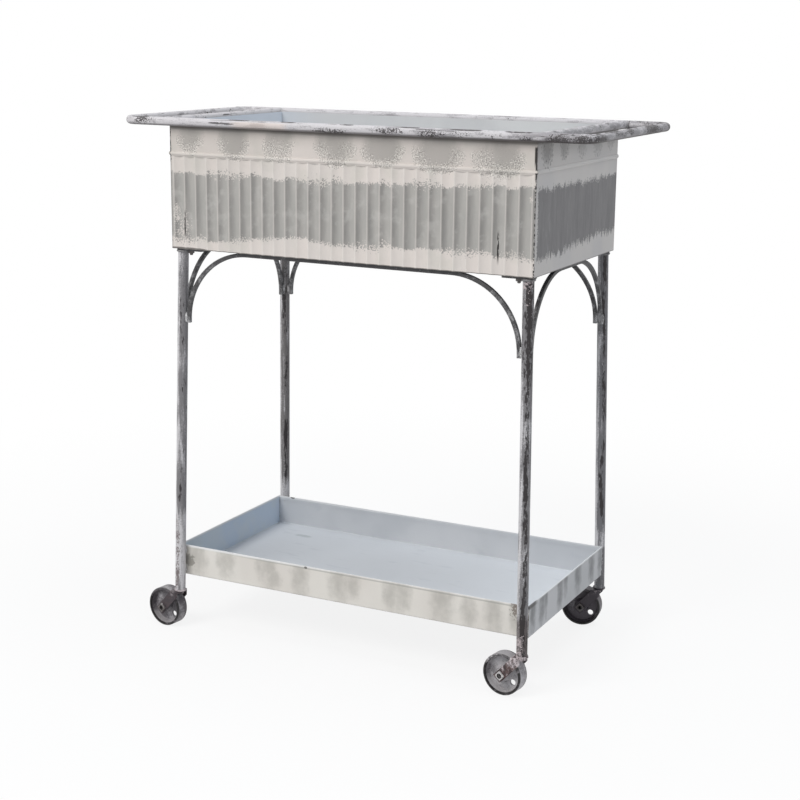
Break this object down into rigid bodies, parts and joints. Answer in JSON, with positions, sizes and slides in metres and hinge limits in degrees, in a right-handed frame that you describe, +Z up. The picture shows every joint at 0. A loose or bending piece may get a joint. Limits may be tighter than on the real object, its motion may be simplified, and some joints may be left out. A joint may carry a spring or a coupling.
{
  "type": "raised planter box",
  "caption": "Fluted metal trough planter raised on slim splayed legs with arched braces, handle loops at both ends, a shallow lower tray and swivel casters.",
  "frame": {"origin": "on the floor under the middle of the cart", "axes": "+X along the trough towards the right handle, -Y towards the front, +Z up"},
  "size_m": [0.7526, 0.3506, 0.8],
  "materials": {
    "trough_paint": "matte cream paint, grey brushed band, chipped edges",
    "rim_paint": "grey whitewash over dark iron, chipped",
    "leg_paint": "grey whitewash streaked over dark iron",
    "brace_paint": "dark grey, lightly whitewashed",
    "tray_paint": "pale blue-grey inside, cream with grey dabs outside",
    "fastener_steel": "dull dark steel",
    "caster_iron": "brown-black iron with grey whitewash",
    "wheel_iron": "gunmetal with grey whitewash",
    "bushing_brass": "dull"
  },
  "bodies": {
    "cart": {"trough_front_panel": "trough_paint", "trough_back_panel": "trough_paint", "trough_left_panel": "trough_paint", "trough_right_panel": "trough_paint", "trough_floor": "trough_paint", "rim_rod_front": "rim_paint", "rim_rod_back": "rim_paint", "rim_rod_left": "rim_paint", "rim_rod_right": "rim_paint", "handle_left": "rim_paint", "handle_right": "rim_paint", "leg_front_left": "leg_paint", "leg_front_right": "leg_paint", "leg_back_left": "leg_paint", "leg_back_right": "leg_paint", "brace_front": "brace_paint", "brace_back": "brace_paint", "brace_left": "brace_paint", "brace_right": "brace_paint", "corner_plate_front_left": "brace_paint", "corner_plate_front_right": "brace_paint", "corner_plate_back_left": "brace_paint", "corner_plate_back_right": "brace_paint", "tray": "tray_paint", "plate_studs": "fastener_steel", "plate_nuts": "fastener_steel", "stem_socket_front_left": "caster_iron", "stem_socket_front_right": "caster_iron", "stem_socket_back_left": "caster_iron", "stem_socket_back_right": "caster_iron"},
    "caster_front_left": {"caster_fork_front_left": "caster_iron", "swivel_stem_front_left": "caster_iron", "axle_bolt_front_left": "fastener_steel", "axle_nut_front_left": "fastener_steel"},
    "roller_front_left": {"wheel_front_left": "wheel_iron", "wheel_bushing_front_left": "bushing_brass"},
    "caster_front_right": {"caster_fork_front_right": "caster_iron", "swivel_stem_front_right": "caster_iron", "axle_bolt_front_right": "fastener_steel", "axle_nut_front_right": "fastener_steel"},
    "roller_front_right": {"wheel_front_right": "wheel_iron", "wheel_bushing_front_right": "bushing_brass"},
    "caster_back_left": {"caster_fork_back_left": "caster_iron", "swivel_stem_back_left": "caster_iron", "axle_bolt_back_left": "fastener_steel", "axle_nut_back_left": "fastener_steel"},
    "roller_back_left": {"wheel_back_left": "wheel_iron", "wheel_bushing_back_left": "bushing_brass"},
    "caster_back_right": {"caster_fork_back_right": "caster_iron", "swivel_stem_back_right": "caster_iron", "axle_bolt_back_right": "fastener_steel", "axle_nut_back_right": "fastener_steel"},
    "roller_back_right": {"wheel_back_right": "wheel_iron", "wheel_bushing_back_right": "bushing_brass"}
  },
  "joints": [
    {"name": "swivel_front_left", "type": "hinge", "parent": "cart", "child": "caster_front_left", "pos_m": [-0.2915, -0.1615, 0.0617], "axis": [0, 0, 1], "continuous": true},
    {"name": "roll_front_left", "type": "hinge", "parent": "caster_front_left", "child": "roller_front_left", "pos_m": [-0.31824, -0.15774, 0.031], "axis": [0.1392, 0.9903, 0], "continuous": true},
    {"name": "swivel_front_right", "type": "hinge", "parent": "cart", "child": "caster_front_right", "pos_m": [0.2915, -0.1615, 0.0617], "axis": [0, 0, 1], "continuous": true},
    {"name": "roll_front_right", "type": "hinge", "parent": "caster_front_right", "child": "roller_front_right", "pos_m": [0.26476, -0.15774, 0.031], "axis": [0.1392, 0.9903, 0], "continuous": true},
    {"name": "swivel_back_left", "type": "hinge", "parent": "cart", "child": "caster_back_left", "pos_m": [-0.2915, 0.1615, 0.0617], "axis": [0, 0, 1], "continuous": true},
    {"name": "roll_back_left", "type": "hinge", "parent": "caster_back_left", "child": "roller_back_left", "pos_m": [-0.31824, 0.15774, 0.031], "axis": [-0.1392, 0.9903, 0], "continuous": true},
    {"name": "swivel_back_right", "type": "hinge", "parent": "cart", "child": "caster_back_right", "pos_m": [0.2915, 0.1615, 0.0617], "axis": [0, 0, 1], "continuous": true},
    {"name": "roll_back_right", "type": "hinge", "parent": "caster_back_right", "child": "roller_back_right", "pos_m": [0.26476, 0.15774, 0.031], "axis": [-0.1392, 0.9903, 0], "continuous": true}
  ]
}
